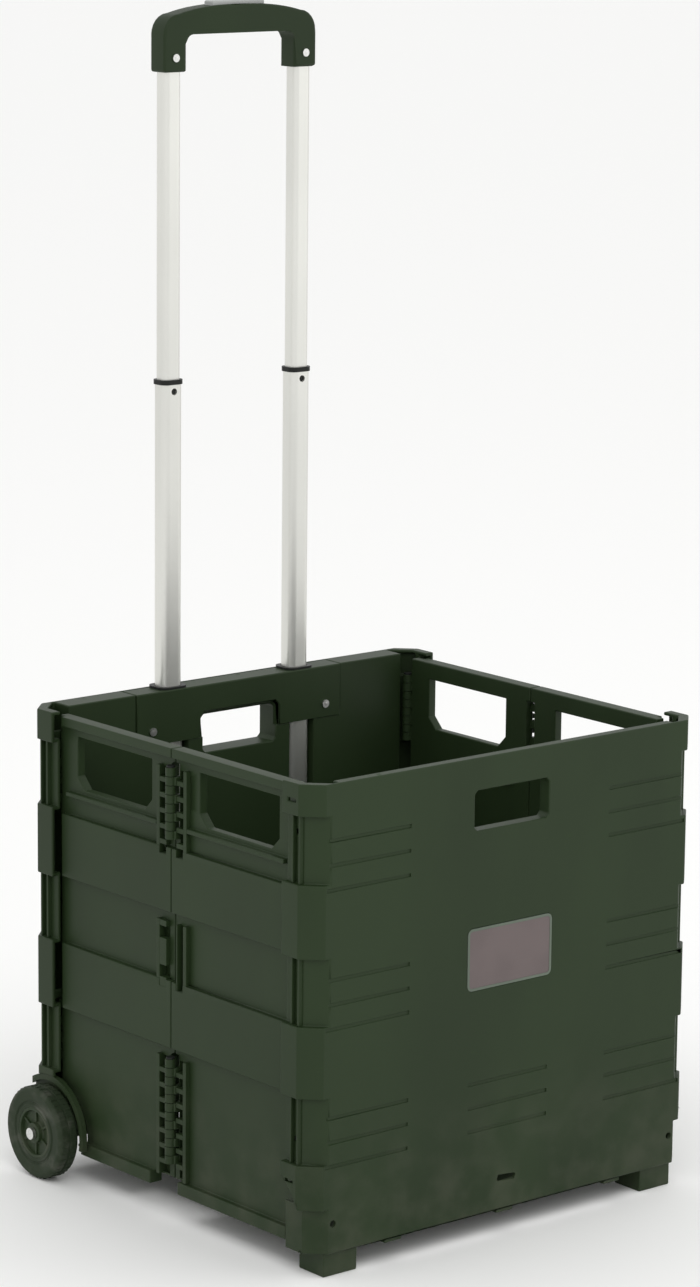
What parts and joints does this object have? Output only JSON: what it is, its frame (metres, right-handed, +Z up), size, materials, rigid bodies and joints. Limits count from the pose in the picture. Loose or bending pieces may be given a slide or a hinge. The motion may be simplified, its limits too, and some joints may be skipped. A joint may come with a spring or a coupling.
{
  "type": "folding crate trolley",
  "caption": "Folding rigid crate on two wheels with a telescopic handle: two trays, creased side panels, lifting floor, for carrying shopping.",
  "frame": {"origin": "middle of the footprint on the ground, under the crate", "axes": "+Z up, front face with the label towards -Y, wheels and handle at +Y, left side at -X"},
  "size_m": [0.4592, 0.389, 0.986],
  "materials": {
    "body_plastic": "satin moulded polypropylene, dark olive green",
    "floor_plastic": "satin moulded polypropylene, dark olive green",
    "black_plastic": "satin black nylon",
    "button_plastic": "light grey plastic",
    "tube_aluminium": "anodised, satin",
    "steel": "zinc plated",
    "wheel_plastic": "satin moulded plastic",
    "tyre": "hard dark green tread",
    "label": "blank matt plate"
  },
  "bodies": {
    "back": {"back_panel": "body_plastic", "tube_cover": "body_plastic", "cover_rivets": "steel", "outer_tube_left": "tube_aluminium", "outer_tube_right": "tube_aluminium", "outer_tube_plugs": "black_plastic", "rim_bushing_left": "black_plastic", "rim_bushing_right": "black_plastic", "back_hinge_pins_left": "black_plastic", "back_hinge_pins_right": "black_plastic", "wheel_bracket_left": "body_plastic", "wheel_bracket_right": "body_plastic", "bracket_screws": "steel", "axle_left": "steel", "axle_right": "steel", "axle_cap_left": "steel", "axle_cap_right": "steel", "wheel_washer_left": "steel", "wheel_washer_right": "steel"},
    "rear_left": {"rear_left_side": "body_plastic", "mid_hinge_pins_left": "black_plastic"},
    "front_left": {"front_left_side": "body_plastic", "front_hinge_pins_left": "black_plastic"},
    "front": {"front_panel": "body_plastic", "label_plate": "label", "floor_hinge_pin": "steel"},
    "floor": {"floor_panel": "floor_plastic"},
    "rear_right": {"rear_right_side": "body_plastic", "mid_hinge_pins_right": "black_plastic"},
    "front_right": {"front_right_side": "body_plastic", "front_hinge_pins_right": "black_plastic"},
    "middle_stage": {"middle_tube_left": "tube_aluminium", "middle_tube_right": "tube_aluminium", "middle_collar_left": "black_plastic", "middle_collar_right": "black_plastic", "middle_plugs": "black_plastic", "lock_springs_middle": "steel"},
    "upper_stage": {"upper_tube_left": "tube_aluminium", "upper_tube_right": "tube_aluminium", "upper_plugs": "black_plastic", "lock_springs_upper": "steel", "grip": "body_plastic", "grip_rivets": "steel", "button_spring": "steel"},
    "button": {"release_button": "button_plastic", "release_rods": "steel"},
    "upper_locks": {"lock_pins_upper": "black_plastic"},
    "middle_locks": {"lock_pins_middle": "black_plastic"},
    "wheel_left": {"tyre_left": "tyre", "wheel_hub_left": "wheel_plastic"},
    "wheel_right": {"tyre_right": "tyre", "wheel_hub_right": "wheel_plastic"}
  },
  "joints": [
    {"name": "fold", "type": "hinge", "parent": "back", "child": "rear_left", "pos_m": [-0.189, 0.1575, 0], "axis": [0, 0, 1], "range_deg": [0, 88]},
    {"name": "mid_left_hinge", "type": "hinge", "parent": "rear_left", "child": "front_left", "pos_m": [-0.202, -0.0055, 0], "axis": [0, 0, 1], "range_deg": [-176, 0]},
    {"name": "front_left_hinge", "type": "hinge", "parent": "front_left", "child": "front", "pos_m": [-0.189, -0.1685, 0], "axis": [0, 0, 1], "range_deg": [0, 88]},
    {"name": "back_right_hinge", "type": "hinge", "parent": "back", "child": "rear_right", "pos_m": [0.189, 0.1575, 0], "axis": [0, 0, 1], "range_deg": [-88, 0]},
    {"name": "mid_right_hinge", "type": "hinge", "parent": "rear_right", "child": "front_right", "pos_m": [0.202, -0.0055, 0], "axis": [0, 0, 1], "range_deg": [0, 176]},
    {"name": "floor_lift", "type": "hinge", "parent": "front", "child": "floor", "pos_m": [0, -0.1775, 0.0205], "axis": [1, 0, 0], "range_deg": [0, 90]},
    {"name": "handle_middle_slide", "type": "slide", "parent": "back", "child": "middle_stage", "axis": [0, 0, -1], "range_m": [0, 0.259]},
    {"name": "handle_upper_slide", "type": "slide", "parent": "middle_stage", "child": "upper_stage", "axis": [0, 0, -1], "range_m": [0, 0.257]},
    {"name": "release_press", "type": "slide", "parent": "upper_stage", "child": "button", "axis": [0, 0, -1], "range_m": [0, 0.004], "stiffness_N_per_m": 900, "springref_m": -0.002, "deforming": ["button_spring"]},
    {"name": "upper_lock_retract", "type": "slide", "parent": "upper_stage", "child": "upper_locks", "axis": [0, 1, 0], "range_m": [0, 0.002]},
    {"name": "middle_lock_retract", "type": "slide", "parent": "middle_stage", "child": "middle_locks", "axis": [0, 1, 0], "range_m": [0, 0.002]},
    {"name": "wheel_left_spin", "type": "hinge", "parent": "back", "child": "wheel_left", "pos_m": [-0.2162, 0.1545, 0.04], "axis": [1, 0, 0], "continuous": true},
    {"name": "wheel_right_spin", "type": "hinge", "parent": "back", "child": "wheel_right", "pos_m": [0.2162, 0.1545, 0.04], "axis": [1, 0, 0], "continuous": true}
  ],
  "couplings": [
    {"joint": "mid_left_hinge", "follows": "fold", "ratio": -2},
    {"joint": "front_left_hinge", "follows": "fold", "ratio": 1},
    {"joint": "back_right_hinge", "follows": "fold", "ratio": -1},
    {"joint": "mid_right_hinge", "follows": "fold", "ratio": 2},
    {"joint": "upper_lock_retract", "follows": "release_press", "ratio": 0.5},
    {"joint": "middle_lock_retract", "follows": "release_press", "ratio": 0.5}
  ]
}
